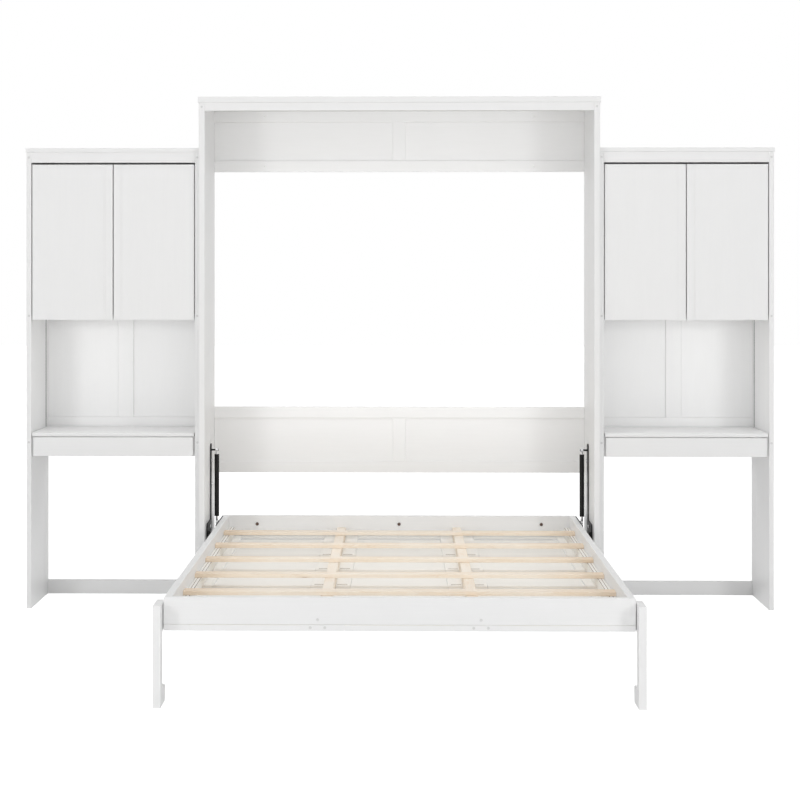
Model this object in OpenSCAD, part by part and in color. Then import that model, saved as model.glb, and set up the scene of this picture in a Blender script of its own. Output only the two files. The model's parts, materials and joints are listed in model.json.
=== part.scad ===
// Wall bed with two side towers. Each tower has a two-door cupboard, an open
// hutch and a fold-down desk. The bed is shown lowered, standing on its legs.
// Millimetres, +Z up, the open side faces -Y. Left is -X.
// Inside the modules y is 0 at the front of the centre cabinet and grows
// towards the wall. Pieces are drawn on the right and mirrored to the left.

/* [Bed] */
// Overall width of the bed frame
bed_w = 1560; // [1400:10:1900]
// Overall length of the bed frame
bed_l = 2082; // [1950:2:2150]
// Height of the bed frame's upper edge above the legs
bed_top_up = 18; // [14:1:40]
// Height of the bed frame, its face and its rails
bed_h = 110; // [100:1:118]
// Gap between the raised bed and the floor
bed_floor_gap = 11; // [8:1:40]
// Thickness of the bed rails
bed_rail_t = 25; // [20:1:28]
// Depth of the slats below the rails' upper edge
slat_drop = 37; // [30:1:42]
// Number of slats
slat_count = 5; // [4:1:5]
// Width of a slat
slat_w = 60; // [45:1:90]
// Thickness of a slat
slat_t = 14; // [12:1:18]
// Distance from slat to slat
slat_pitch = 367; // [300:1:372]
// Distance from the bed's head end to the first slat's middle
slat_first = 252; // [200:1:262]
// Distance of each bearer from the centre line
bearer_x = 255; // [200:1:300]
// Width of a bearer
bearer_w = 38; // [30:1:50]
// Width of the battens that the slats rest on
ledge_w = 25; // [20:1:35]
// Width of the outer stiles in the bed's face
face_edge_w = 85; // [70:1:110]
// Width of the two wide stiles in the bed's face
face_stile_w = 148; // [80:1:180]
// Width of the cross rails in the bed's face
face_rail_w = 90; // [60:1:100]
// Thickness of the bed's face frame, which the rails stand on
face_t = 20; // [16:1:24]
// Distance of the outer head bolts from the bed's sides
head_bolt_in = 150; // [80:5:300]

/* [Legs] */
// Thickness of a leg
leg_t = 26; // [20:1:28]
// Gap between a leg and the bed rail
leg_gap = 3; // [2:0.5:5]
// Height of a leg
leg_h = 337; // [300:1:370]
// Width of a leg's upright
leg_w = 50; // [40:1:60]
// Length of a leg's upper end
leg_head_l = 118; // [115:1:140]
// Height of a leg's upper end
leg_head_h = 90; // [80:1:105]
// Length of a leg's foot
leg_foot_l = 120; // [100:1:160]
// Height of a leg's foot
leg_foot_h = 56; // [40:1:70]
// Rounding of a leg's corners
leg_round = 8; // [4:1:12]
// Distance of the legs' front ahead of the bed's foot end
leg_proud = 55; // [40:1:56]
// Distance of a leg's pivot behind its front
leg_pivot_y = 93; // [90:1:98]
// Distance of a leg's pivot below its top
leg_pivot_down = 19; // [17:1:26]
// Diameter of the leg bolts
leg_bolt_d = 8; // [6:1:10]

/* [Centre cabinet] */
// Gap between the bed and each cabinet side
channel_w = 45; // [44:1:60]
// Gap between the raised bed and the strip above it
bed_top_gap = 27; // [20:1:60]
// Depth of the centre cabinet, front to wall
cab_d = 420; // [418:1:480]
// Thickness of the cabinet sides
cab_side_t = 25; // [20:1:28]
// Thickness of the top board
cab_top_t = 25; // [18:1:30]
// Overhang of the top boards at their ends
cap_over = 4; // [2:1:8]
// Height of the strip under the top board
fascia_h = 35; // [20:1:60]
// Thickness of the front strips
fascia_t = 18; // [15:1:22]
// Height of the upper back panel
header_h = 272; // [220:1:330]
// Height of the middle back panel's lower edge
mid_z = 543; // [500:1:600]
// Height of the middle back panel
mid_h = 293; // [250:1:330]
// Height of the rails at the foot of the wall side
foot_rail_h = 62; // [45:1:80]
// Distance between the joint lines on the sides' inner faces
side_joint_y = 84; // [60:1:110]

/* [Panelled frames] */
// Width of a frame's rails
rail_w = 50; // [40:1:60]
// Width of the centre stile in the cabinet's back panels
cab_stile_w = 57; // [45:1:75]
// Width of the centre stile in a tower's back
tower_stile_w = 70; // [50:1:90]
// Thickness of a frame
frame_t = 20; // [18:1:24]
// Thickness of a panel set in a frame
panel_t = 6; // [4:1:8]
// Depth of a panel's face behind its frame's face
panel_set = 6; // [4:1:8]
// Distance of the wall screws from the cabinet's centre line
wall_screw_x = 600; // [400:10:640]
// Diameter of the wall screws' holes
wall_screw_d = 6; // [5:0.5:8]

/* [Towers] */
// Width of one tower
tower_w = 740; // [600:5:900]
// Height of the centre cabinet's top above the towers
tower_step = 215; // [60:5:300]
// Distance of the towers' front behind the cabinet's front
tower_front = 35; // [0:1:45]
// Thickness of the towers' sides
tower_side_t = 20; // [18:1:24]
// Thickness of the towers' top, floor and shelf boards
tower_board_t = 18; // [16:1:20]
// Height of the strip under a tower's top
tower_fascia_h = 45; // [35:1:60]

/* [Cupboard doors] */
// Height of the doors' lower edge
door_z = 1232; // [1180:1:1290]
// Thickness of a door
door_t = 18; // [16:1:20]
// Gap beside and between the doors
door_gap = 4; // [3:0.5:5]
// Gap above the doors
door_top_gap = 8; // [3:1:10]
// Width of the stile along a door's meeting edge
door_stile = 32; // [24:1:60]
// Diameter of the hinge cups
cup_d = 35; // [26:1:35]
// Distance of a hinge from the door's end
cup_end = 95; // [70:1:130]
// Height of the cupboard floor above the doors' lower edge
door_lap = 8; // [4:1:16]

/* [Desks] */
// Height of the desk surface
desk_h = 750; // [720:1:780]
// Thickness of the desk leaf
desk_t = 15; // [14:1:20]
// Gap between the leaf and the rail under its front edge
desk_gap = 4; // [2:0.5:6]
// Height of the rail under the desk's front edge
desk_rail_h = 81; // [60:1:100]
// Thickness of the bearers at both ends of the leaf
cleat_w = 20; // [16:1:26]
// Gap beside the rail under the desk's front edge
desk_rail_gap = 9; // [2:1:14]
// Gap beside the leaf
desk_side_gap = 4; // [2:0.5:6]
// Height of the tower back's lower rail above the desk
back_rail_up = 40; // [30:1:80]
// Depth of the tower back's lower rail below the desk
back_rail_down = 100; // [60:5:140]
// Diameter of the desk leaf's pivot pins
desk_pin_d = 8; // [6:0.5:9]
// Distance of the desk leaf's pivot from the tower's back
desk_pivot_in = 14; // [13:0.5:20]

/* [Lift mechanism] */
// Distance of the bed's pivot behind the cabinet's front
pivot_y = 90; // [88:1:92]
// Distance of the bed's pivot below the bed frame's upper edge
pivot_down = 45; // [40:1:52]
// Diameter of the bed's pivot pins
pivot_d = 16; // [12:1:18]
// Distance of the strut's upper pivot behind the cabinet's front
strut_top_y = 230; // [224:1:236]
// Height of the strut's upper pivot above the bed's pivot
strut_top_up = 350; // [345:1:355]
// Distance of the strut's lower pivot behind the bed's pivot
strut_low_y = 140; // [136:1:144]
// Height of the strut's lower pivot above the bed's pivot
strut_low_z = 35; // [32:1:38]
// Distance of the strut's middle from the bed rail
strut_out = 16; // [16:0.5:22]
// Outer diameter of the strut's cylinder
strut_d = 20; // [18:0.5:21]
// Length of the strut's cylinder
strut_l = 270; // [262:1:274]
// Diameter of the strut's rod
rod_d = 10; // [8:1:12]
// Diameter of the strut's pivot studs
stud_d = 8; // [6:1:10]
// Thickness of the steel plate on the cabinet side
plate_t = 4; // [3:0.5:6]
// Width of the plate's strap
strap_w = 46; // [36:1:60]
// Height of the plate's base above the bed's pivot
boot_up = 48; // [40:1:60]
// Depth of the plate's base below the bed's pivot
boot_down = 30; // [24:1:50]
// Length of the plate's base in front of the bed's pivot
boot_toe = 24; // [20:1:40]
// Thickness of the steel bracket on the bed rail
bracket_t = 4; // [3:0.5:5]
// Length of the bracket behind the bed's pivot
bracket_l = 280; // [200:5:290]
// Length of the bracket in front of the bed's pivot
bracket_toe = 45; // [30:1:60]

/* [Fits] */
// Gap between boards that meet
fit = 0.3; // [0.2:0.1:0.4]
// Running clearance of a pin in its bore, on the radius
run = 0.05; // [0.03:0.01:0.08]
// Easing of the boards' long edges
ease = 1.5; // [0.5:0.25:2.5]

/* [Hidden] */
$fn = 48;
eps = 1;

white = [0.93, 0.93, 0.93];
white_warm = [0.91, 0.90, 0.88];
pine = [0.93, 0.84, 0.70];
black_steel = [0.08, 0.08, 0.08];
zinc = [0.75, 0.75, 0.76];

// Distances from the centre line
bed_x = bed_w / 2;
bed_inner_x = bed_x - bed_rail_t;
bay_x = bed_x + channel_w;
cab_x = bay_x + cab_side_t;
tower_x = cab_x + tower_w;
niche_x0 = cab_x + tower_side_t;
niche_x1 = tower_x - tower_side_t;

// Heights of the bed
bed_top = leg_h + bed_top_up;
bed_under = bed_top - bed_h;
pivot_z = bed_top - pivot_down;
face_top = bed_under + face_t;
rail_z0 = face_top + fit;
slat_top = bed_top - slat_drop;
ledge_top = slat_top - slat_t;
leg_pivot_z = leg_h - leg_pivot_down;

// Distances from the front of the centre cabinet
back_y = cab_d - frame_t;
bed_head_y = pivot_y + pivot_z - bed_floor_gap;
bed_foot_y = bed_head_y - bed_l;
leg_front_y = bed_foot_y - leg_proud;
leg_axis_y = leg_front_y + leg_pivot_y;
tower_d = cab_d - tower_front;
origin_y = (cab_d + leg_front_y) / 2;

// Heights: the raised bed fits under the strip, and the towers follow the cabinet
raised_top = bed_floor_gap + bed_l;
cab_under_top = raised_top + bed_top_gap + fascia_h;
cab_h = cab_under_top + cab_top_t;
header_z = cab_under_top - header_h;
tower_h = cab_h - tower_step;
tower_under_top = tower_h - tower_board_t;
door_top = tower_under_top - tower_fascia_h - door_top_gap;
cup_floor_z = door_z + door_lap;
shelf_z = (cup_floor_z + tower_under_top) / 2;
desk_under = desk_h - desk_t;
desk_rail_z = desk_under - desk_gap - desk_rail_h;

door_w = (niche_x1 - niche_x0 - 3 * door_gap) / 2;
door_h = door_top - door_z;

// ---- Boards and bars ----

// Rectangle with its corners eased
module eased_rect(w, h) {
    e = min(ease, w / 4, h / 4);
    polygon([[e, 0], [w - e, 0], [w, e], [w, h - e], [w - e, h], [e, h], [0, h - e], [0, e]]);
}

// A board from its lowest corner, with the edges along its length eased
module board(at, size) {
    translate(at)
        if (size.x >= size.y && size.x >= size.z)
            rotate([90, 0, 90]) linear_extrude(size.x) eased_rect(size.y, size.z);
        else if (size.z >= size.y)
            linear_extrude(size.z) eased_rect(size.x, size.y);
        else
            translate([0, size.y, 0]) rotate([90, 0, 0])
                linear_extrude(size.y) eased_rect(size.x, size.z);
}

// A round bar or hole along X, and one along Y
module bar_x(x0, x1, d, y, z) {
    translate([x0, y, z]) rotate([0, 90, 0]) cylinder(h = x1 - x0, d = d);
}

module bar_y(y0, y1, d, x, z) {
    translate([x, y0, z]) rotate([-90, 0, 0]) cylinder(h = y1 - y0, d = d);
}

// An outline drawn in y and z, given a thickness along X from x0
module plate_yz(x0, t) {
    translate([x0, 0, 0]) rotate([90, 0, 90]) linear_extrude(t) children();
}

// The frame's origin lies on the floor under the middle of the whole
module place(left = false) {
    translate([0, -origin_y, 0])
        if (left) mirror([1, 0, 0]) children();
        else children();
}

module both_sides() {
    children();
    mirror([1, 0, 0]) children();
}

// ---- Framed backs ----

// Two rails and the stile between them, from x0 to x1 and z0 to z1, on the wall
module framed_back(x0, x1, z0, z1, stile_w, low_rail = rail_w) {
    mid = (x0 + x1) / 2;
    board([x0, back_y, z0], [x1 - x0, frame_t, low_rail]);
    board([x0, back_y, z1 - rail_w], [x1 - x0, frame_t, rail_w]);
    board([mid - stile_w / 2, back_y, z0 + low_rail + fit],
        [stile_w, frame_t, z1 - z0 - low_rail - rail_w - 2 * fit]);
}

// The two panels of such a frame
module framed_panels(x0, x1, z0, z1, stile_w, low_rail = rail_w) {
    pane_w = (x1 - x0 - stile_w) / 2 - 2 * fit;
    for (x = [x0 + fit, x1 - fit - pane_w])
        translate([x, back_y + panel_set, z0 + low_rail + fit])
            cube([pane_w, panel_t, z1 - z0 - low_rail - rail_w - 2 * fit]);
}

// ---- Centre cabinet ----

groove_w = 3;
groove_deep = 2;
back_x = bay_x - fit;
header_top = cab_under_top - fit;

module cab_side() {
    color(white) difference() {
        board([bay_x, 0, 0], [cab_side_t, cab_d, header_top]);
        for (i = [1, 2])
            translate([bay_x - eps, cab_d - i * side_joint_y, -eps])
                cube([groove_deep + eps, groove_w, cab_h]);
    }
}

module cab_top() {
    color(white) board([-cab_x - cap_over, 0, cab_under_top], [2 * (cab_x + cap_over), cab_d, cab_top_t]);
}

module cab_fascia() {
    color(white) board([-back_x, 0, cab_under_top - fascia_h], [2 * back_x, fascia_t, fascia_h - fit]);
}

module header_frame() {
    color(white) difference() {
        framed_back(-back_x, back_x, header_z, header_top, cab_stile_w);
        for (x = [-wall_screw_x, wall_screw_x], z = [header_z + rail_w / 2, header_top - rail_w / 2])
            bar_y(back_y - eps, cab_d + eps, wall_screw_d, x, z);
    }
}

module mid_frame() {
    color(white) framed_back(-back_x, back_x, mid_z, mid_z + mid_h, cab_stile_w);
}

module cab_panels() {
    color(white) {
        framed_panels(-back_x, back_x, header_z, header_top, cab_stile_w);
        framed_panels(-back_x, back_x, mid_z, mid_z + mid_h, cab_stile_w);
    }
}

module cab_foot_rail() {
    color(white) board([-back_x, back_y, 0], [2 * back_x, frame_t, foot_rail_h]);
}

// ---- Towers ----

tower_in_x0 = niche_x0 + fit;
tower_in_w = niche_x1 - niche_x0 - 2 * fit;
tower_back_z0 = desk_h - back_rail_down;
tower_low_rail = back_rail_up + back_rail_down;

// A tower side from x0, with a joint line on its inner face and a bore for the desk's pin
module tower_side(x0, groove_x, bore_x) {
    color(white) difference() {
        board([x0, tower_front, 0], [tower_side_t, tower_d, tower_under_top - fit]);
        translate([groove_x, cab_d - side_joint_y, -eps])
            cube([groove_deep + eps, groove_w, tower_h]);
        bar_x(bore_x, bore_x + desk_pin_in + eps, desk_pin_d + 2 * run, desk_axis_y, desk_axis_z);
    }
}

module tower_outer_side() {
    tower_side(niche_x1, niche_x1 - eps, niche_x1 - eps);
}

module tower_inner_side() {
    tower_side(cab_x + fit, niche_x0 + fit - groove_deep, niche_x0 + fit - desk_pin_in);
}

module tower_top() {
    color(white) board([cab_x + fit, tower_front, tower_under_top],
        [tower_w + cap_over - fit, tower_d, tower_board_t]);
}

module tower_fascias() {
    color(white) both_sides()
        board([tower_in_x0 + fit, tower_front, tower_under_top - tower_fascia_h],
            [tower_in_w - fit, fascia_t, tower_fascia_h - fit]);
}

// Boards inside a tower start behind the doors
door_y = tower_front + 1;
door_back_y = door_y + door_t;

module cupboard_boards(z, set_back) {
    y0 = door_back_y + set_back;
    color(white) both_sides()
        board([tower_in_x0 + fit, y0, z], [tower_in_w - fit, back_y - fit - y0, tower_board_t]);
}

module tower_back_frame() {
    color(white)
        framed_back(tower_in_x0 + fit, niche_x1 - fit, tower_back_z0, tower_under_top - fit,
            tower_stile_w, tower_low_rail);
}

module tower_panels() {
    color(white) both_sides()
        framed_panels(tower_in_x0 + fit, niche_x1 - fit, tower_back_z0, tower_under_top - fit,
            tower_stile_w, tower_low_rail);
}

module tower_foot_rails() {
    color(white) both_sides()
        board([tower_in_x0 + fit, back_y, 0], [tower_in_w - fit, frame_t, foot_rail_h]);
}

// The rail under the desk's front edge is fixed on the ends of the two bearers
module desk_rail() {
    color(white) board([niche_x0 + desk_rail_gap, tower_front, desk_rail_z],
        [niche_x1 - niche_x0 - 2 * desk_rail_gap, tower_board_t, desk_rail_h]);
}

module desk_cleats() {
    y0 = tower_front + tower_board_t + fit;
    y1 = desk_axis_y - desk_swing_r - desk_pin_gap;
    color(white) both_sides()
        for (x = [tower_in_x0 + fit, niche_x1 - fit - cleat_w])
            board([x, y0, desk_rail_z], [cleat_w, y1 - y0, desk_under - fit - desk_rail_z]);
}

pin_d = 5;
pin_l = 10;
pin_set = 40;

module shelf_pins() {
    color(zinc) both_sides()
        for (x = [tower_in_x0 + fit, niche_x1 - fit - pin_l],
                y = [door_back_y + pin_set, back_y - pin_set])
            bar_x(x, x + pin_l, pin_d, y, shelf_z - pin_d / 2 - fit);
}

// ---- Doors and their concealed hinges ----

// A door and its cups are drawn with the hinged edge at x = 0, the front at y = 0
cup_deep = 11;
cup_set = 22;
flange_t = 1;
flange_h = 52;
flange_w = 20;
cup_z = [cup_end, door_h - cup_end];
line_w = 2;
line_deep = 1.2;

module door() {
    color(white) difference() {
        board([0, 0, 0], [door_w, door_t, door_h]);
        for (x = [door_w - door_stile, door_w - door_stile - 3 * line_w])
            translate([x, -eps, -eps]) cube([line_w, eps + line_deep, door_h + 2 * eps]);
        for (z = cup_z)
            bar_y(door_t - cup_deep, door_t + eps, cup_d, cup_set, z);
    }
}

// Steel cups let into the back of the door, each with a flange and a hollow
module door_cups() {
    color(zinc) for (z = cup_z)
        difference() {
            union() {
                bar_y(door_t - cup_deep + fit, door_t + flange_t, cup_d - 2 * run, cup_set, z);
                translate([cup_set - flange_w / 2, door_t, z - flange_h / 2])
                    cube([flange_w, flange_t, flange_h]);
            }
            bar_y(door_t - cup_deep + 2, door_t + 2 * flange_t, cup_d - 8, cup_set, z);
        }
}

// The hinge arm on the cabinet's side: its base plate and the arm up to the cup
arm_w = 13;
arm_t = 10;
arm_base_l = 42;
arm_base_t = 4;
arm_base_h = 48;
arm_tip = cup_set + cup_d / 2 - 2;
arm_knee = 8;

module hinge_arm() {
    y0 = door_t + flange_t + fit;
    arm_x0 = arm_base_t - door_gap;
    arm_y1 = y0 + arm_t + arm_base_l - arm_base_t;
    for (z = cup_z) {
        translate([-door_gap + fit, y0 + arm_t, z - arm_base_h / 2])
            cube([arm_base_t, arm_base_l, arm_base_h]);
        plate_xy(z - arm_w / 2, arm_w)
            polygon([[arm_x0, arm_y1], [arm_x0, y0 + arm_knee], [cup_set - arm_knee, y0],
                [arm_tip, y0], [arm_tip, y0 + arm_base_t], [cup_set, y0 + arm_t],
                [arm_x0 + arm_t + arm_knee, y0 + arm_t + arm_knee], [arm_x0 + arm_t, arm_y1]]);
    }
}

// An outline drawn in x and y, given a height from z0
module plate_xy(z0, h) {
    translate([0, 0, z0]) linear_extrude(h) children();
}

// Put what is drawn for a door at the outer or the inner door's hinged edge
module at_outer_door() {
    translate([niche_x1 - door_gap, door_y, door_z]) mirror([1, 0, 0]) children();
}

module at_inner_door() {
    translate([niche_x0 + door_gap, door_y, door_z]) children();
}

module door_hinge_arms() {
    color(zinc) both_sides() {
        at_outer_door() hinge_arm();
        at_inner_door() translate([fit, 0, 0]) hinge_arm();
    }
}

// ---- Fold-down desk leaf, which turns on a pin at each rear end ----

desk_pin_in = 12;
desk_pin_gap = 2;
leaf_pin_in = 24;
desk_tail = 8;
desk_axis_y = back_y - desk_pivot_in;
desk_axis_z = desk_h - desk_t / 2;
desk_swing_r = norm([desk_tail, desk_t / 2]);
leaf_x0 = niche_x0 + fit + desk_side_gap;
leaf_x1 = niche_x1 - desk_side_gap;

module desk_hinges() {
    color(zinc) both_sides() {
        bar_x(niche_x0 + fit - desk_pin_in + fit, leaf_x0 + leaf_pin_in - fit, desk_pin_d,
            desk_axis_y, desk_axis_z);
        bar_x(leaf_x1 - leaf_pin_in + fit, niche_x1 + desk_pin_in - fit, desk_pin_d,
            desk_axis_y, desk_axis_z);
    }
}

module desk_leaf() {
    color(white) difference() {
        board([leaf_x0, tower_front, desk_under],
            [leaf_x1 - leaf_x0, desk_axis_y + desk_tail - tower_front, desk_t]);
        for (x = [leaf_x0 - eps, leaf_x1 - leaf_pin_in])
            bar_x(x, x + leaf_pin_in + eps, desk_pin_d + 2 * run, desk_axis_y, desk_axis_z);
    }
}

// ---- Bed ----

side_y0 = bed_foot_y + bed_rail_t + fit;
side_y1 = bed_head_y - bed_rail_t - fit;
side_l = side_y1 - side_y0;
face_x = bed_inner_x - fit;

module bed_rail_side() {
    color(white) difference() {
        board([bed_inner_x, side_y0, rail_z0], [bed_rail_t, side_l, bed_top - rail_z0]);
        bar_x(bed_inner_x - eps, bed_x + eps, leg_bolt_d + 2 * run, leg_axis_y, leg_pivot_z);
    }
}

module bed_rail_end(y) {
    board([-bed_x, y, rail_z0], [bed_w, bed_rail_t, bed_top - rail_z0]);
}

head_bolt_x = [-bed_x + head_bolt_in, 0, bed_x - head_bolt_in];
head_bolt_d = 7;

module bed_rail_head() {
    color(white) difference() {
        bed_rail_end(bed_head_y - bed_rail_t);
        for (x = head_bolt_x)
            bar_y(bed_head_y - bed_rail_t - eps, bed_head_y + eps, head_bolt_d + 2 * run, x, slat_top);
    }
}

module bed_rail_foot() {
    color(white) bed_rail_end(bed_foot_y);
}

module bed_bearers() {
    color(pine) for (s = [-1, 1])
        board([s * bearer_x - bearer_w / 2, side_y0, rail_z0],
            [bearer_w, side_l, ledge_top - rail_z0 - fit]);
}

module bed_ledges() {
    color(white_warm) both_sides()
        board([face_x - ledge_w, side_y0, rail_z0],
            [ledge_w, side_l, ledge_top - rail_z0 - fit]);
}

function slat_y(i) = bed_head_y - slat_first - i * slat_pitch - slat_w / 2;

module slats() {
    color(pine) for (i = [0:slat_count - 1])
        board([-face_x, slat_y(i), ledge_top], [2 * face_x, slat_w, slat_t]);
}

// The bed's face lies under the rails: full-length stiles, a cross rail at each
// slat, and panels set in from the lower face
col_x0 = [-bed_x + face_edge_w, -bearer_x + face_stile_w / 2, bearer_x + face_stile_w / 2];
col_x1 = [-bearer_x - face_stile_w / 2, bearer_x - face_stile_w / 2, bed_x - face_edge_w];
cross_y = [for (i = [slat_count - 1:-1:0]) slat_y(i)];
row_y0 = concat([bed_foot_y + face_edge_w], [for (y = cross_y) y + face_rail_w]);
row_y1 = concat(cross_y, [bed_head_y - face_edge_w]);

module bed_face_frame() {
    color(white_warm) {
        for (x = [-bed_x, bed_x - face_edge_w])
            board([x, bed_foot_y, bed_under], [face_edge_w, bed_l, face_t]);
        for (s = [-1, 1])
            board([s * bearer_x - face_stile_w / 2, bed_foot_y, bed_under], [face_stile_w, bed_l, face_t]);
        for (c = [0:2]) {
            x0 = col_x0[c] + fit;
            w = col_x1[c] - col_x0[c] - 2 * fit;
            for (y = cross_y)
                board([x0, y, bed_under], [w, face_rail_w, face_t]);
            for (y = [bed_foot_y, bed_head_y - face_edge_w])
                board([x0, y, bed_under], [w, face_edge_w, face_t]);
        }
    }
}

module bed_face_panels() {
    color(white_warm) for (c = [0:2], r = [0:slat_count])
        translate([col_x0[c] + fit, row_y0[r] + fit, bed_under + panel_set])
            cube([col_x1[c] - col_x0[c] - 2 * fit, row_y1[r] - row_y0[r] - 2 * fit, panel_t]);
}

// ---- Legs ----

leg_x0 = bed_x + leg_gap;
leg_x1 = leg_x0 + leg_t;

// C-shaped side view: a deep head, a narrow upright and a foot to the rear
module leg_outline() {
    y0 = leg_front_y;
    y1 = y0 + leg_w;
    head_z = leg_h - leg_head_h;
    r = leg_round;
    polygon([[y0, 0], [y0 + leg_foot_l - r, 0], [y0 + leg_foot_l, r],
        [y0 + leg_foot_l, leg_foot_h - r], [y0 + leg_foot_l - r, leg_foot_h],
        [y1 + r, leg_foot_h], [y1, leg_foot_h + r], [y1, head_z - r], [y1 + r, head_z],
        [y0 + leg_head_l - r, head_z], [y0 + leg_head_l, head_z + r],
        [y0 + leg_head_l, leg_h], [y0, leg_h]]);
}

module leg() {
    color(white) difference() {
        plate_yz(leg_x0, leg_t) leg_outline();
        bar_x(leg_x0 - eps, leg_x1 + eps, leg_bolt_d + 2 * run, leg_axis_y, leg_pivot_z);
    }
}

// A bolt through leg and rail, with its head, the washer between and the nut
head_l = 4;

module leg_bolts() {
    color(zinc) both_sides() {
        bar_x(bed_inner_x - head_l - fit, leg_x1 + head_l, leg_bolt_d, leg_axis_y, leg_pivot_z);
        bar_x(leg_x1 + fit, leg_x1 + head_l, 2.2 * leg_bolt_d, leg_axis_y, leg_pivot_z);
        bar_x(bed_x + fit, leg_x0 - fit, 2.6 * leg_bolt_d, leg_axis_y, leg_pivot_z);
        bar_x(bed_inner_x - head_l - fit, bed_inner_x - fit, 1.8 * leg_bolt_d, leg_axis_y, leg_pivot_z);
    }
}

module head_rail_bolts() {
    y = bed_head_y - bed_rail_t;
    color(black_steel) for (x = head_bolt_x) {
        bar_y(y - head_l, y + bed_rail_t - 1, head_bolt_d, x, slat_top);
        bar_y(y - head_l, y - fit, 2 * head_bolt_d, x, slat_top);
    }
}

// ---- Lift mechanism ----

// The strut hangs in the channel beside the bed
strut_x = bed_x + strut_out;
strut_top_z = pivot_z + strut_top_up;
low_y = pivot_y + strut_low_y;
low_z = pivot_z + strut_low_z;
strut_lean = atan2(low_y - strut_top_y, strut_top_z - low_z);
strut_reach = norm([low_y - strut_top_y, strut_top_z - low_z]);
strut_neck = 19;
strut_wall = 1.5;
eye_r = 8;
eye_w = 11;
eye_x0 = strut_x - eye_w / 2;
gland_l = 8;
piston_l = 12;
plate_x0 = bay_x - fit - plate_t;
strap_y0 = strut_top_y - strap_w * 0.3;
strap_y1 = strap_y0 + strap_w;
strap_top = strut_top_z + 26;
boot_y0 = pivot_y - boot_toe;
boot_top = pivot_z + boot_up;
bolt_d = 7;
bolt_in = 24;
strap_bolt_y = (strap_y0 + strap_y1) / 2 + 4;
plate_bolts = [[strap_y0 - bolt_in - 8, boot_top - bolt_in], [strap_bolt_y, pivot_z],
    [strap_bolt_y, (strut_top_z + boot_top) / 2], [strap_bolt_y, strut_top_z - 2 * bolt_in]];

// Boot-shaped plate: its base carries the pivot, its strap rises to the strut
module boot_outline() {
    corner = 10;
    polygon([[boot_y0, pivot_z - boot_down + corner], [boot_y0 + corner, pivot_z - boot_down],
        [strap_y1, pivot_z - boot_down], [strap_y1, strap_top - corner],
        [strap_y1 - corner, strap_top], [strap_y0 + corner, strap_top],
        [strap_y0, strap_top - corner], [strap_y0, boot_top + corner],
        [strap_y0 - corner, boot_top], [boot_y0 + corner, boot_top],
        [boot_y0, boot_top - corner]]);
}

module mech_plate() {
    collar_l = 10;
    color(black_steel) difference() {
        union() {
            plate_yz(plate_x0, plate_t) boot_outline();
            // Pivot pin of the bed with its collar
            bar_x(bed_x + 1, plate_x0 + eps, pivot_d, pivot_y, pivot_z);
            bar_x(plate_x0 - collar_l, plate_x0 + eps, pivot_d + 12, pivot_y, pivot_z);
            // Upper stud of the strut
            bar_x(eye_x0 - 2, plate_x0 + eps, stud_d, strut_top_y, strut_top_z);
        }
        for (b = plate_bolts)
            bar_x(plate_x0 - eps, bay_x, bolt_d, b[0], b[1]);
    }
}

module mech_bolts() {
    color(zinc) both_sides()
        for (b = plate_bolts) {
            bar_x(plate_x0 - head_l, plate_x0 - fit, 2 * bolt_d, b[0], b[1]);
            bar_x(plate_x0 - fit, bay_x - fit, bolt_d - 2 * run, b[0], b[1]);
        }
}

// Bracket on the bed rail: the bush for the pivot pin and the strut's lower stud
module bed_bracket() {
    x0 = bed_x + fit;
    x1 = x0 + bracket_t;
    y0 = pivot_y - bracket_toe;
    y1 = pivot_y + bracket_l;
    z0 = rail_z0 + 2;
    z1 = bed_top + 1;
    corner = 12;
    boss_l = 8;
    color(black_steel) difference() {
        union() {
            plate_yz(x0, bracket_t)
                polygon([[y0, z0 + corner], [y0 + corner, z0], [y1 - corner, z0], [y1, z0 + corner],
                    [y1, z1 - corner], [y1 - corner, z1], [y0 + corner, z1], [y0, z1 - corner]]);
            bar_x(x1 - eps, x1 + boss_l, pivot_d + 10, pivot_y, pivot_z);
            bar_x(x1 - eps, eye_x0 - fit, stud_d + 4, low_y, low_z);
        }
        bar_x(x0 - eps, x1 + boss_l + eps, pivot_d + 2 * run, pivot_y, pivot_z);
    }
}

// Strut parts lie along -z from the upper pivot at the origin
module strut_line() {
    translate([strut_x, strut_top_y, strut_top_z]) rotate([strut_lean, 0, 0]) children();
}

module eye(z) {
    translate([-eye_w / 2, 0, z]) rotate([0, 90, 0]) cylinder(h = eye_w, r = eye_r);
}

// A closed cylinder with a hollow for the piston and a gland around the rod
module strut_tube() {
    tube_end = -strut_neck - strut_l;
    color(black_steel) strut_line() difference() {
        union() {
            eye(0);
            translate([0, 0, -strut_neck - eps]) cylinder(h = strut_neck + eps, d = stud_d + 1);
            translate([0, 0, tube_end]) cylinder(h = strut_l, d = strut_d);
        }
        translate([-eye_w, 0, 0]) rotate([0, 90, 0]) cylinder(h = 2 * eye_w, d = stud_d + 2 * run);
        translate([0, 0, tube_end + gland_l])
            cylinder(h = strut_l - gland_l - 3, d = strut_d - 2 * strut_wall);
        translate([0, 0, tube_end - eps]) cylinder(h = gland_l + 2 * eps, d = rod_d + 2 * run);
    }
}

// The rod stands beside the lower stud: that pivot is left open
module strut_rod() {
    piston_top = -strut_neck - 5;
    color(zinc) strut_line() {
        eye(-strut_reach);
        translate([0, 0, -strut_reach]) cylinder(h = strut_reach + piston_top, d = rod_d);
        translate([0, 0, piston_top - piston_l])
            cylinder(h = piston_l, d = strut_d - 2 * strut_wall - 2 * run);
    }
}

// ---- One line for each node ----

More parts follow.
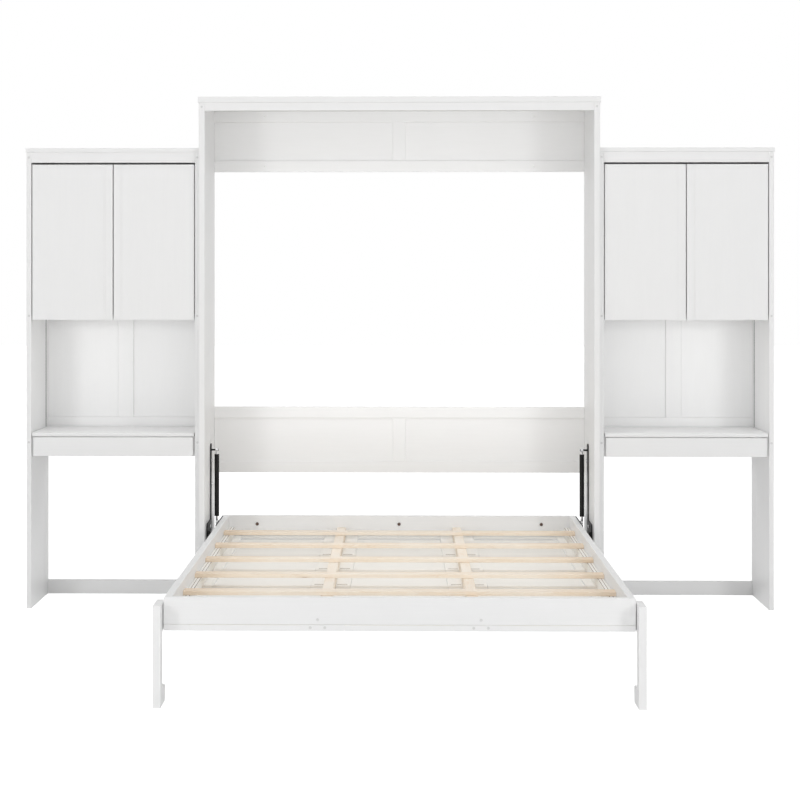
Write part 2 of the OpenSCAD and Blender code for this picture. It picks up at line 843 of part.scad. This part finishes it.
place(true) cab_side();  // cab_side_left
place() cab_side();  // cab_side_right
place() cab_top();
place() cab_fascia();
place() header_frame();
place() mid_frame();
place() cab_panels();
place() cab_foot_rail();
place(true) mech_plate();  // mech_plate_left
place() mech_plate();  // mech_plate_right
place() mech_bolts();
place(true) tower_outer_side();  // tower_outer_side_left
place() tower_outer_side();  // tower_outer_side_right
place(true) tower_inner_side();  // tower_inner_side_left
place() tower_inner_side();  // tower_inner_side_right
place(true) tower_top();  // tower_top_left
place() tower_top();  // tower_top_right
place() tower_fascias();
place() cupboard_boards(cup_floor_z, 2);  // cupboard_floors
place() cupboard_boards(shelf_z, 6);  // cupboard_shelves
place(true) tower_back_frame();  // tower_back_frame_left
place() tower_back_frame();  // tower_back_frame_right
place(true) desk_rail();  // desk_rail_left
place() desk_rail();  // desk_rail_right
place() tower_foot_rails();
place() tower_panels();
place() desk_cleats();
place() shelf_pins();
place() door_hinge_arms();
place() desk_hinges();
place(true) bed_rail_side();  // bed_rail_left
place() bed_rail_side();  // bed_rail_right
place() bed_rail_head();
place() bed_rail_foot();
place() bed_bearers();
place() bed_ledges();
place() slats();
place() bed_face_frame();
place() bed_face_panels();
place(true) bed_bracket();  // bed_bracket_left
place() bed_bracket();  // bed_bracket_right
place() leg_bolts();
place() head_rail_bolts();
place(true) leg();  // leg_left
place() leg();  // leg_right
place(true) strut_tube();  // strut_tube_left
place() strut_tube();  // strut_tube_right
place(true) strut_rod();  // strut_rod_left
place() strut_rod();  // strut_rod_right
place(true) at_outer_door() door();  // door_outer_left
place(true) at_inner_door() door();  // door_inner_left
place() at_inner_door() door();  // door_inner_right
place() at_outer_door() door();  // door_outer_right
place(true) at_outer_door() door_cups();  // door_cups_outer_left
place(true) at_inner_door() door_cups();  // door_cups_inner_left
place() at_inner_door() door_cups();  // door_cups_inner_right
place() at_outer_door() door_cups();  // door_cups_outer_right
place(true) desk_leaf();  // desk_leaf_left
place() desk_leaf();  // desk_leaf_right
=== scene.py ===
import json
import math

import bmesh
import bpy
import numpy as np
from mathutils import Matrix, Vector


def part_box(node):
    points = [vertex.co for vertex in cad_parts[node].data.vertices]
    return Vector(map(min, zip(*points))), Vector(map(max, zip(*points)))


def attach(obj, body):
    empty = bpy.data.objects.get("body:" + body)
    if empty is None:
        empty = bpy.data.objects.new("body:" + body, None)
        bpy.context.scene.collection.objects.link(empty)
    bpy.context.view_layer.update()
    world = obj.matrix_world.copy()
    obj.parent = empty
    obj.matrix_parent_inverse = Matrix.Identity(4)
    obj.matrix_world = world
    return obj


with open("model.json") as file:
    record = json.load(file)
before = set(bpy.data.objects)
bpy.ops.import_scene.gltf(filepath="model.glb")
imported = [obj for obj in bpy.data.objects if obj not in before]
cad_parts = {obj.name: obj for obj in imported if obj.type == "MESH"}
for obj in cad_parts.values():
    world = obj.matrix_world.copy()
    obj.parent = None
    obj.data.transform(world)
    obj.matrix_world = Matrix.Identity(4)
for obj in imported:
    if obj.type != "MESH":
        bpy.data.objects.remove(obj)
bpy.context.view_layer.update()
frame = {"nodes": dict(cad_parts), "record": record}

# A white wall bed between two desk towers. +X is right, -Y is towards the room and Z is up, in metres.

NODES = frame["nodes"]
SIDES = (("left", -1), ("right", 1))
TO_ROOM = Vector((0, -1, 0))
TO_WALL = Vector((0, 1, 0))
DOWN = Vector((0, 0, -1))
FRONT_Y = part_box("cab_side_left")[0].y


def middle(node):
    low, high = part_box(node)
    return (low + high) / 2


def add_object(name, data):
    thing = bpy.data.objects.new(name, data)
    bpy.context.scene.collection.objects.link(thing)
    return thing


# ---- Camera: level, turned a little to the left, in metres and in the photograph's pixels ----

PHOTO_SIZE = 800
FOCAL_PX = 1812.7
HORIZON_PX = 276.9
CENTRE_PX = 371.6
CAMERA_X = -0.002
CAMERA_DISTANCE = 7.680
CAMERA_HEIGHT = 1.415
CAMERA_TURN = math.radians(0.854)
SENSOR = 36.0


def make_camera():
    data = bpy.data.cameras.new("camera")
    data.sensor_width = SENSOR
    data.lens = FOCAL_PX / PHOTO_SIZE * SENSOR
    data.shift_x = (PHOTO_SIZE / 2 - CENTRE_PX) / PHOTO_SIZE
    data.shift_y = (HORIZON_PX - PHOTO_SIZE / 2) / PHOTO_SIZE
    data.clip_end = 100
    camera = add_object("camera", data)
    camera.location = (CAMERA_X, FRONT_Y - CAMERA_DISTANCE, CAMERA_HEIGHT)
    camera.rotation_euler = (math.radians(90), 0, CAMERA_TURN)
    bpy.context.scene.camera = camera


# ---- Node trees ----

# Width of the step between the cells that have a knot and the clear ones
DRAW_EDGE = 0.02


class Tree:
    """The node tree of a material or a world, with short calls to add and join nodes."""

    def __init__(self, owner):
        owner.use_nodes = True
        self.owner = owner
        self.tree = owner.node_tree

    def add(self, kind, inputs=None, **settings):
        node = self.tree.nodes.new(kind)
        for key, value in settings.items():
            setattr(node, key, value)
        for key, value in (inputs or {}).items():
            self.join(value, node.inputs[key])
        return node

    def join(self, value, socket):
        if isinstance(value, bpy.types.NodeSocket):
            self.tree.links.new(value, socket)
        else:
            socket.default_value = value

    def set(self, **inputs):
        """Give the shader's inputs; an underscore stands for a space in an input's name."""
        shader = self.tree.nodes["Principled BSDF"]
        for key, value in inputs.items():
            self.join(value, shader.inputs[key.replace("_", " ")])

    def math(self, operation, a, b=0.0):
        return self.add("ShaderNodeMath", {0: a, 1: b}, operation=operation).outputs[0]

    def sum(self, a, share_a, b, share_b):
        return self.math("ADD", self.math("MULTIPLY", a, share_a), self.math("MULTIPLY", b, share_b))

    def stretch(self, place, along, across):
        """Scale a board's place along its grain, and alike in the two directions across it."""
        factors = (along, across, across)
        return self.add("ShaderNodeMapping", {"Vector": place, "Scale": factors}).outputs[0]

    def noise(self, place, scale, detail=4.0, roughness=0.55, distortion=0.0):
        inputs = {"Vector": place, "Scale": scale, "Detail": detail, "Roughness": roughness,
                  "Distortion": distortion}
        return self.add("ShaderNodeTexNoise", inputs).outputs[0]

    def span(self, value, old, new):
        """Carry a value from one range, (low, high), to another."""
        inputs = {"Value": value, "From Min": old[0], "From Max": old[1], "To Min": new[0],
                  "To Max": new[1]}
        return self.add("ShaderNodeMapRange", inputs).outputs[0]

    def ramp(self, factor, stops):
        """A colour ramp with (place, colour) stops."""
        node = self.add("ShaderNodeValToRGB", {"Fac": factor})
        ramp = node.color_ramp
        while len(ramp.elements) < len(stops):
            ramp.elements.new(0.5)
        for element, (place, colour) in zip(ramp.elements, stops):
            element.position = place
            element.color = (*colour, 1)
        return node.outputs[0]

    def tint(self, factor, base, colour):
        """Mix a colour into the base."""
        inputs = {0: factor, 6: base, 7: colour}
        return self.add("ShaderNodeMix", inputs, data_type="RGBA", blend_type="MIX").outputs[2]

    def bump(self, height, distance, strength):
        inputs = {"Height": height, "Distance": distance, "Strength": strength}
        return self.add("ShaderNodeBump", inputs).outputs[0]

    def knots(self, place, across, scale, clear, stops):
        """Spots in the cells of a pattern, shaded from their middle out; a share of the cells stays clear."""
        cells = self.add("ShaderNodeTexVoronoi", {"Vector": self.stretch(place, 1, across),
                                                  "Scale": scale, "Randomness": 1.0})
        draw = self.add("ShaderNodeSeparateColor", {"Color": cells.outputs["Color"]}).outputs[0]
        chosen = self.ramp(draw, [(clear, grey(0)), (clear + DRAW_EDGE, grey(1))])
        return self.math("MULTIPLY", self.ramp(cells.outputs["Distance"], stops), chosen)


def new_material(name):
    return Tree(bpy.data.materials.new(name))


def grey(value):
    return (value, value, value)


def darker(colour, share):
    return tuple(part * (1 - share) for part in colour)


# ---- Wood: every board carries its own grain direction ----

GRAIN = "grain_place"
# How far a board's count and its place shift its grain, so that no two boards look alike
BOARD_SHIFT = np.array([3.7, 5.3, 2.9])
PLACE_SHIFT = 1.7


def board_numbers(mesh, places):
    """For each vertex a number that its board's vertices share; vertices at one place are joined."""
    _, group = np.unique(np.round(places, 5), axis=0, return_inverse=True)
    group = group.reshape(-1)
    parent = list(range(group.max() + 1))

    def root(i):
        while parent[i] != i:
            parent[i] = parent[parent[i]]
            i = parent[i]
        return i

    for edge in mesh.edges:
        a, b = root(group[edge.vertices[0]]), root(group[edge.vertices[1]])
        if a != b:
            parent[a] = b
    return np.array([root(g) for g in group])


def board_vectors(mesh):
    """For each vertex its place along, across and through its own board, shifted per board."""
    places = np.zeros(len(mesh.vertices) * 3)
    mesh.vertices.foreach_get("co", places)
    places = places.reshape(-1, 3)
    board = board_numbers(mesh, places)
    result = np.zeros_like(places)
    for count, number in enumerate(sorted(set(board.tolist())), start=1):
        chosen = board == number
        low, high = places[chosen].min(0), places[chosen].max(0)
        longest_first = np.argsort(-(high - low), kind="stable")
        centre = (low + high) / 2
        shift = BOARD_SHIFT * count + centre * PLACE_SHIFT
        result[chosen] = (places[chosen] - centre)[:, longest_first] + shift
    return result


def mark_grain(piece):
    attribute = piece.data.attributes.new(GRAIN, "FLOAT_VECTOR", "POINT")
    attribute.data.foreach_set("vector", board_vectors(piece.data).reshape(-1))


PAINT_RELIEF = 0.00016
PAINT_ROUGHNESS = (0.40, 0.52)
# Share of the paint's colour that a knot leaves, and how much of the knot shows
KNOT_SHADE = (0.80, 0.77, 0.70)
KNOT_SHOWS = 0.07


def painted_wood(name, colour, streak=0.02):
    """Satin paint on pine: faint streaks and pores of the grain below, a few dull knots."""
    t = new_material(name)
    place = t.add("ShaderNodeAttribute", attribute_name=GRAIN).outputs["Vector"]
    fibres = t.noise(t.stretch(place, 1.2, 26), 6.0, detail=6, roughness=0.62, distortion=0.4)
    broad = t.noise(t.stretch(place, 0.7, 7), 2.2, detail=3, roughness=0.5)
    brush = t.noise(t.stretch(place, 3, 160), 3.0, detail=2)
    base = t.ramp(fibres, [(0.3, darker(colour, streak)), (0.62, colour)])
    clouds = t.ramp(broad, [(0.35, darker(colour, streak * 0.9)), (0.6, colour)])
    base = t.tint(0.35, base, clouds)
    knots = t.knots(place, across=3.2, scale=2.1, clear=0.72,
                    stops=[(0.0, grey(1)), (0.05, grey(0.55)), (0.11, grey(0))])
    knot_colour = [part * share for part, share in zip(colour, KNOT_SHADE)]
    base = t.tint(t.math("MULTIPLY", knots, KNOT_SHOWS), base, (*knot_colour, 1))
    t.set(Base_Color=base, Roughness=t.span(fibres, (0.2, 0.8), PAINT_ROUGHNESS), Specular_IOR_Level=0.35,
          Normal=t.bump(t.sum(fibres, 0.7, brush, 0.3), PAINT_RELIEF, 0.8))
    return t.owner


# Pine: the two shades of each kind of growth line, and what is mixed into them
LATE_WOOD = ((0.90, 0.755, 0.60), (0.88, 0.73, 0.57))
EARLY_WOOD = ((0.93, 0.835, 0.71), (0.935, 0.85, 0.735))
SAPWOOD = (0.93, 0.86, 0.765, 1)
FIBRE = (0.80, 0.63, 0.46, 1)
END_WOOD = (0.80, 0.61, 0.42, 1)
KNOT = (0.47, 0.31, 0.185, 1)
PINE_RELIEF = 0.0004
# Distance from the bed's centre line over which the slats' ends darken
END_REACH = (0.50, 0.72)


def bare_pine(name, sapwood):
    """Planed pine: growth lines, knots and darker board ends; sapwood is how pale it is."""
    t = new_material(name)
    place = t.add("ShaderNodeAttribute", attribute_name=GRAIN).outputs["Vector"]
    warp = t.math("MULTIPLY", t.noise(t.stretch(place, 1.6, 9), 1.6, detail=3), 1.5)
    bent = t.add("ShaderNodeVectorMath", {0: t.stretch(place, 0.55, 15), 1: warp}, operation="ADD")
    rings = t.noise(bent.outputs[0], 4.6, detail=2.5, roughness=0.45, distortion=0.9)
    fibres = t.noise(t.stretch(place, 2.5, 150), 4.0, detail=5, roughness=0.65)
    base = t.ramp(rings, [(0.30, LATE_WOOD[0]), (0.47, EARLY_WOOD[0]), (0.56, LATE_WOOD[1]),
                          (0.70, EARLY_WOOD[1])])
    base = t.tint(t.ramp(fibres, [(0.42, grey(0)), (0.72, grey(0.3))]), base, FIBRE)
    broad = t.noise(t.stretch(place, 2.4, 6), 1.5, detail=2)
    pale = t.math("MULTIPLY", t.ramp(broad, [(0.35, grey(0.15)), (0.62, grey(1))]), sapwood)
    base = t.tint(pale, base, SAPWOOD)
    site = t.add("ShaderNodeTexCoord").outputs["Object"]
    aside = t.math("ABSOLUTE", t.add("ShaderNodeSeparateXYZ", {"Vector": site}).outputs["X"])
    base = t.tint(t.math("MULTIPLY", t.span(aside, END_REACH, (0.0, 0.9)), broad), base, END_WOOD)
    knots = t.knots(place, across=4.6, scale=3.4, clear=0.60,
                    stops=[(0.0, grey(1)), (0.055, grey(0.9)), (0.075, grey(0.25)), (0.15, grey(0))])
    base = t.tint(knots, base, KNOT)
    t.set(Base_Color=base, Roughness=0.62, Specular_IOR_Level=0.25,
          Normal=t.bump(t.sum(fibres, 0.8, rings, 0.4), PINE_RELIEF, 0.8))
    return t.owner


# ---- Metal ----

COAT_RELIEF = 0.0002
COAT_ROUGHNESS = (0.34, 0.5)
ZINC_SHADES = ((0.55, 0.55, 0.56), (0.76, 0.76, 0.77))
ZINC_RELIEF = 0.0001
ZINC_ROUGHNESS = (0.24, 0.38)


def coated_steel(name, deep, lit):
    """Powder coat with a fine orange-peel surface, between two shades."""
    t = new_material(name)
    place = t.add("ShaderNodeTexCoord").outputs["Object"]
    peel = t.noise(place, 900.0, detail=2)
    dust = t.noise(place, 35.0, detail=5)
    t.set(Base_Color=t.ramp(dust, [(0.35, deep), (0.75, lit)]), Specular_IOR_Level=0.2,
          Roughness=t.span(dust, (0.3, 0.7), COAT_ROUGHNESS), Normal=t.bump(peel, COAT_RELIEF, 0.5))
    return t.owner


def zinc_plate(name):
    """Bright zinc plate: pale metal with soft clouds and fine brushing."""
    t = new_material(name)
    place = t.add("ShaderNodeTexCoord").outputs["Object"]
    clouds = t.noise(place, 60.0, detail=4)
    brushing = t.noise(place, 700.0, detail=2)
    t.set(Base_Color=t.ramp(clouds, [(0.3, ZINC_SHADES[0]), (0.7, ZINC_SHADES[1])]), Metallic=1.0,
          Roughness=t.span(clouds, (0.3, 0.7), ZINC_ROUGHNESS), Normal=t.bump(brushing, ZINC_RELIEF, 0.4))
    return t.owner


# ---- Finishes of the solids ----

WHITE = painted_wood("white_paint", (0.895, 0.895, 0.893))
UNDERSIDE = painted_wood("white_underside", (0.93, 0.908, 0.86), streak=0.05)
PINE = bare_pine("pine", 0.62)
PALE_PINE = bare_pine("pale_pine", 0.85)
BLACK = coated_steel("black_steel", (0.006, 0.006, 0.0065), (0.014, 0.014, 0.015))
BRONZE = coated_steel("bronze_steel", (0.11, 0.070, 0.058), (0.17, 0.115, 0.095))
ZINC = zinc_plate("zinc")
# The plugs' grey is painted shade: it stands for the shade in their slight recess
PLUG = painted_wood("plug_paint_shaded", (0.74, 0.74, 0.735))
# Dark brown of the strips that paint the shade in grooves and joints
LINE = painted_wood("groove_shade", (0.26, 0.20, 0.16))
# The record's material slots, and the nodes whose finish is their own
FINISH = {"white_paint": WHITE, "white_underside": UNDERSIDE, "pine": PINE, "black_steel": BLACK,
          "zinc": ZINC}
OWN_FINISH = {"bed_bearers": PALE_PINE, "head_rail_bolts": BRONZE}
WOODS = (WHITE, UNDERSIDE, PINE, PALE_PINE)
# Length of the bright eye and neck at the top of each gas strut's cylinder
NECK_LENGTH = 0.027
# A face looks up into the bed where its normal's height is over this
LOOKS_UP = 0.5


def finish_nodes():
    for entry in frame["record"]["subparts"]:
        piece = NODES[entry["node"]]
        material = OWN_FINISH.get(entry["node"], FINISH[entry["material_slot"]])
        piece.data.materials.clear()
        piece.data.materials.append(material)
        if material in WOODS:
            mark_grain(piece)


def finish_faces(piece, material, chosen):
    """Give a second finish to the faces of a piece that a test picks."""
    piece.data.materials.append(material)
    second = len(piece.data.materials) - 1
    for face in piece.data.polygons:
        if chosen(face):
            face.material_index = second


def finish_details():
    """The bed's face is plain white except inside the bed, and each strut's eye and neck are bright."""
    for node in ("bed_face_frame", "bed_face_panels"):
        finish_faces(NODES[node], WHITE, lambda face: face.normal.z < LOOKS_UP)
    for side, _ in SIDES:
        tube = NODES["strut_tube_" + side]
        neck_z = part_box(tube.name)[1].z - NECK_LENGTH
        finish_faces(tube, ZINC, lambda face: face.center.z > neck_z)


# ---- Making small pieces ----

TURN_STEPS = 24
DOME_SEAT = 0.0008
# Share of a strip's least measure that its edges are eased by
EASED = 0.3
# Vertices nearer than this are one
SAME_PLACE = 0.00001


def turned(mesh, profile, place, direction):
    """Add a turned form to a bmesh: (radius, height) points revolved about a direction."""
    turn = direction.to_track_quat("Z", "Y")
    angles = [2 * math.pi * i / TURN_STEPS for i in range(TURN_STEPS)]
    rings = []
    for radius, height in profile:
        if radius == 0:
            points = [(0, 0, height)]
        else:
            points = [(radius * math.cos(a), radius * math.sin(a), height) for a in angles]
        rings.append([mesh.verts.new(Vector(place) + turn @ Vector(point)) for point in points])
    for low, high in zip(rings, rings[1:]):
        for i in range(TURN_STEPS):
            a, b = low[i % len(low)], low[(i + 1) % len(low)]
            c, d = high[(i + 1) % len(high)], high[i % len(high)]
            mesh.faces.new(list(dict.fromkeys((a, b, c, d))))


def dome(radius, height):
    """The profile of a shallow domed disc that is let a little into its seat."""
    return [(0, -DOME_SEAT), (radius * 0.98, -DOME_SEAT), (radius, 0), (radius * 0.93, height * 0.45),
            (radius * 0.6, height * 0.85), (0, height)]


def strip(mesh, low, high):
    """Add a thin board between two corners to a bmesh, with its edges eased."""
    low, high = Vector(low), Vector(high)
    size = high - low
    made = bmesh.ops.create_cube(mesh, size=1.0)["verts"]
    for vertex in made:
        vertex.co = (low + high) / 2 + vertex.co * size
    edges = {edge for vertex in made for edge in vertex.link_edges}
    bmesh.ops.bevel(mesh, geom=list(edges), offset=min(size) * EASED, segments=1, affect="EDGES")


def piece_from(mesh, name, body, material):
    """Turn a bmesh into a piece that rides on a body."""
    data = bpy.data.meshes.new(name)
    bmesh.ops.recalc_face_normals(mesh, faces=mesh.faces)
    mesh.to_mesh(data)
    mesh.free()
    for face in data.polygons:
        face.use_smooth = True
    data.materials.append(material)
    piece = add_object(name, data)
    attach(piece, body)


# ---- Screw plugs and studs ----

PLUG_RADIUS = 0.005
PLUG_HEIGHT = 0.0007
# Depth of the desk's plug below the top of its front rail
PLUG_INSET = 0.022
# Plugs on the bed's foot end: distance from the centre line and height
FOOT_PLUGS = ((0.270, 0.282), (0.294, 0.2555), (0.246, 0.2555))
LEG_STUD_RADIUS = 0.007
LEG_STUD_HEIGHT = 0.004
# Place of a leg's stud: behind the leg's front edge, and above the floor
LEG_STUD_IN = 0.028
LEG_STUD_Z = 0.266


def make_edge_plugs():
    """Painted screw plugs on the front edges of the upright panels, where boards join behind."""
    mesh = bmesh.new()
    tower_heights = (middle("tower_fascias").z, middle("cupboard_floors").z,
                     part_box("desk_rail_left")[1].z - PLUG_INSET)
    cabinet_heights = (middle("cab_fascia").z,)
    for side, _ in SIDES:
        for panel, heights in (("tower_outer_side_", tower_heights), ("tower_inner_side_", tower_heights),
                               ("cab_side_", cabinet_heights)):
            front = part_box(panel + side)[0].y
            for height in heights:
                place = (middle(panel + side).x, front, height)
                turned(mesh, dome(PLUG_RADIUS, PLUG_HEIGHT), place, TO_ROOM)
    piece_from(mesh, "edge_plugs", "cabinet", PLUG)


def make_foot_plugs():
    mesh = bmesh.new()
    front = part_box("bed_rail_foot")[0].y
    for _, sign in SIDES:
        for x, z in FOOT_PLUGS:
            turned(mesh, dome(PLUG_RADIUS, PLUG_HEIGHT), (sign * x, front, z), TO_ROOM)
    piece_from(mesh, "foot_plugs", "bed", PLUG)


def make_leg_studs():
    """The head of the stop screw on the outer face of each leg."""
    for side, sign in SIDES:
        mesh = bmesh.new()
        low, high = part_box("leg_" + side)
        x = low.x if sign < 0 else high.x
        place = (x, low.y + LEG_STUD_IN, LEG_STUD_Z)
        turned(mesh, dome(LEG_STUD_RADIUS, LEG_STUD_HEIGHT), place, Vector((sign, 0, 0)))
        piece_from(mesh, "leg_stud_" + side, "leg_" + side, ZINC)


# ---- Painted shade lines: thin dark strips let into the boards, in grooves and joints ----

# In a hutch, the painted shadow line: distance from the side's rear edge, and the strip's measures
SHADOW_LINE_IN = 0.062
SHADOW_LINE_W = 0.007
SHADOW_LINE_PROUD = 0.0012
SHADOW_LINE_SUNK = 0.0005
SHADOW_LINE_END_GAP = 0.001

# The batten's strips are painted shade of grooves
# Along a batten: width of the batten, distances from its inner edge, and the strip's measures
LEDGE_W = 0.025
LEDGE_LINES = (0.0015, 0.0135)
LEDGE_LINE_W = 0.0022
LEDGE_LINE_PROUD = 0.0002
LEDGE_LINE_SUNK = 0.0006
LEDGE_LINE_SHORT = 0.004

# On the bed's face: widths of its stiles and cross rails, and the strip's measures
STILE_W = 0.148
CROSS_RAIL_W = 0.090
FACE_LINE_W = 0.009
FACE_LINE_PROUD = 0.0003
FACE_LINE_SUNK = 0.001
FACE_LINE_SHORT = 0.012
BEARER_GAP = 0.004


def make_hutch_shadow_lines():
    """A black strip down the inner face of each hutch's outer side: a painted shadow along the side's groove.
    """
    mesh = bmesh.new()
    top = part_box("cupboard_floors")[0].z - SHADOW_LINE_END_GAP
    for side, sign in SIDES:
        low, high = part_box("tower_outer_side_" + side)
        face = high.x if sign < 0 else low.x
        left, right = sorted((face - sign * SHADOW_LINE_PROUD, face + sign * SHADOW_LINE_SUNK))
        shade_line_y = high.y - SHADOW_LINE_IN
        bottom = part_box("desk_leaf_" + side)[1].z + SHADOW_LINE_END_GAP
        strip(mesh, (left, shade_line_y - SHADOW_LINE_W / 2, bottom), (right, shade_line_y + SHADOW_LINE_W / 2, top))
    piece_from(mesh, "hutch_shadow_lines", "cabinet", BLACK)


def make_ledge_shade_lines():
    """Two brown strips along each batten that the slats rest on: painted shade of the grooves there."""
    mesh = bmesh.new()
    low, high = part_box("bed_ledges")
    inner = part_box("bed_rail_right")[0].x - LEDGE_W
    for _, sign in SIDES:
        for step in LEDGE_LINES:
            x = sign * (inner + step)
            strip(mesh, (x - LEDGE_LINE_W / 2, low.y + LEDGE_LINE_SHORT, high.z - LEDGE_LINE_SUNK),
                  (x + LEDGE_LINE_W / 2, high.y - LEDGE_LINE_SHORT, high.z + LEDGE_LINE_PROUD))
    piece_from(mesh, "ledge_shade_lines", "bed", LINE)


def parts_along(node, axis):
    """The lowest and highest place along an axis of each separate solid in a node, in order."""
    mesh = bmesh.new()
    mesh.from_mesh(NODES[node].data)
    bmesh.ops.remove_doubles(mesh, verts=mesh.verts, dist=SAME_PLACE)
    spans, unseen = [], set(mesh.verts)
    while unseen:
        found, waiting = [], [unseen.pop()]
        while waiting:
            vertex = waiting.pop()
            found.append(vertex.co[axis])
            beside = {edge.other_vert(vertex) for edge in vertex.link_edges} & unseen
            unseen -= beside
            waiting.extend(beside)
        spans.append((min(found), max(found)))
    mesh.free()
    return sorted(spans)


def make_face_joint_shades():
    """Brown strips across the face's stiles, beside the three middle cross rails: the stiles' joints there,
    darkened with painted shade.
    """
    mesh = bmesh.new()
    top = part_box("bed_face_frame")[1].z
    reach = STILE_W / 2 - FACE_LINE_SHORT
    _, *middle_slats, _ = parts_along("slats", 1)
    for slat_low, _ in middle_slats:
        shade_line_y = slat_low + CROSS_RAIL_W
        for low, high in parts_along("bed_bearers", 0):
            centre = (low + high) / 2
            for left, right in ((centre - reach, low - BEARER_GAP), (high + BEARER_GAP, centre + reach)):
                strip(mesh, (left, shade_line_y - FACE_LINE_W / 2, top - FACE_LINE_SUNK),
                      (right, shade_line_y + FACE_LINE_W / 2, top + FACE_LINE_PROUD))
    piece_from(mesh, "face_joint_shades", "bed", LINE)


# ---- Studio ----

PURE_WHITE = (1, 1, 1, 1)
# Strength of the light from all round
AMBIENT = 0.42
FLOOR_SIZE = 60.0
FLOOR_COLOUR = (0.9, 0.9, 0.9, 1)
FLOOR_SHADE = (0.42, 0.42, 0.42, 1)
FLOOR_GLOW = 0.96

# Lamps: name, place and target with y from the cabinet's front, size (width, height) and watts
CENTRE = (0, 0, 1.1)
LAMPS = (
    ("key_left", (-2.98, -3.95, 1.5), CENTRE, (0.75, 0.75), 25.5),
    ("key_right", (2.98, -3.95, 1.5), CENTRE, (0.75, 0.75), 25.5),
    ("front", (0, -8.5, 1.5), CENTRE, (8.0, 3.0), 99.0),
    ("top", (0, -1.4, 5.4), (0, -1.0, 0.3), (4.0, 2.6), 62.0),
    ("back", (0, 4.5, 5.2), (0, 0.4, 1.0), (7.0, 2.5), 85.0),
)

# Fills: size (width, height) and watts
HUTCH_FILL = ((0.60, 0.36), 0.26)
BAY_FILL = ((1.30, 1.25), 1.1)
BED_FILL = ((1.36, 1.80), 0.6)
# Gap between a hutch's or the bed's fill and the boards' edges
FILL_GAP = 0.012
# Place of the bay's fill: behind the steel plates' front edges, and above the floor
BAY_FILL_IN = 0.16
BAY_FILL_Z = 1.32


def seen_directly(t):
    """1 for what the camera sees directly, in gloss or through glass."""
    path = t.add("ShaderNodeLightPath").outputs
    seen = t.math("MAXIMUM", path["Is Camera Ray"], path["Is Glossy Ray"])
    return t.math("MAXIMUM", seen, path["Is Transmission Ray"])


def make_world():
    world = bpy.data.worlds.new("studio")
    bpy.context.scene.world = world
    t = Tree(world)
    t.tree.nodes.clear()
    seen = t.add("ShaderNodeBackground", {"Color": PURE_WHITE})
    lit = t.add("ShaderNodeBackground", {"Color": PURE_WHITE, "Strength": AMBIENT})
    mix = t.add("ShaderNodeMixShader", {0: seen_directly(t), 1: lit.outputs[0], 2: seen.outputs[0]})
    t.add("ShaderNodeOutputWorld", {"Surface": mix.outputs[0]})


def make_floor():
    """A white floor: the camera sees it as white paper that keeps a faint shadow."""
    mesh = bpy.data.meshes.new("floor")
    half = FLOOR_SIZE / 2
    corners = [(-half, -half, 0), (half, -half, 0), (half, half, 0), (-half, half, 0)]
    mesh.from_pydata(corners, [], [(0, 1, 2, 3)])
    floor = add_object("floor", mesh)
    t = new_material("floor")
    t.tree.nodes.clear()
    plain = t.add("ShaderNodeBsdfDiffuse", {"Color": FLOOR_COLOUR})
    shade = t.add("ShaderNodeBsdfDiffuse", {"Color": FLOOR_SHADE})
    glow = t.add("ShaderNodeEmission", {"Color": PURE_WHITE, "Strength": FLOOR_GLOW})
    paper = t.add("ShaderNodeAddShader", {0: shade.outputs[0], 1: glow.outputs[0]})
    mix = t.add("ShaderNodeMixShader", {0: seen_directly(t), 1: plain.outputs[0], 2: paper.outputs[0]})
    t.add("ShaderNodeOutputMaterial", {"Surface": mix.outputs[0]})
    mesh.materials.append(t.owner)


def area_light(name, place, target, size, power):
    """A rectangular lamp (width, height) at a place, facing its target."""
    data = bpy.data.lights.new(name, "AREA")
    data.shape = "RECTANGLE"
    data.size, data.size_y = size
    data.energy = power
    lamp = add_object(name, data)
    lamp.location = place
    lamp.rotation_mode = "QUATERNION"
    lamp.rotation_quaternion = (Vector(place) - Vector(target)).to_track_quat("Z", "Y")
    lamp.visible_camera = False


def make_fills():
    """Dim panels facing into the hutches, the bay and the bed, which light them almost flat."""
    leaf_low, leaf_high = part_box("desk_leaf_right")
    hutch_z = (leaf_high.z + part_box("cupboard_floors")[0].z) / 2
    for side, sign in SIDES:
        place = Vector((sign * middle("desk_leaf_right").x, leaf_low.y - FILL_GAP, hutch_z))
        area_light("hutch_fill_" + side, place, place + TO_WALL, *HUTCH_FILL)
    place = Vector((0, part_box("mech_plate_left")[0].y + BAY_FILL_IN, BAY_FILL_Z))
    area_light("bay_fill", place, place + TO_WALL, *BAY_FILL)
    place = Vector((0, middle("bed_rail_left").y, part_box("bed_rail_left")[1].z + FILL_GAP))
    area_light("bed_fill", place, place + DOWN, *BED_FILL)


def make_lamps():
    front = Vector((0, FRONT_Y, 0))
    for name, place, target, size, watts in LAMPS:
        area_light(name, front + Vector(place), front + Vector(target), size, watts)


make_camera()
finish_nodes()
finish_details()
make_edge_plugs()
make_foot_plugs()
make_leg_studs()
make_hutch_shadow_lines()
make_ledge_shade_lines()
make_face_joint_shades()
make_floor()
make_world()
make_fills()
make_lamps()
bpy.context.scene.view_settings.view_transform = "Standard"

bpy.context.view_layer.update()
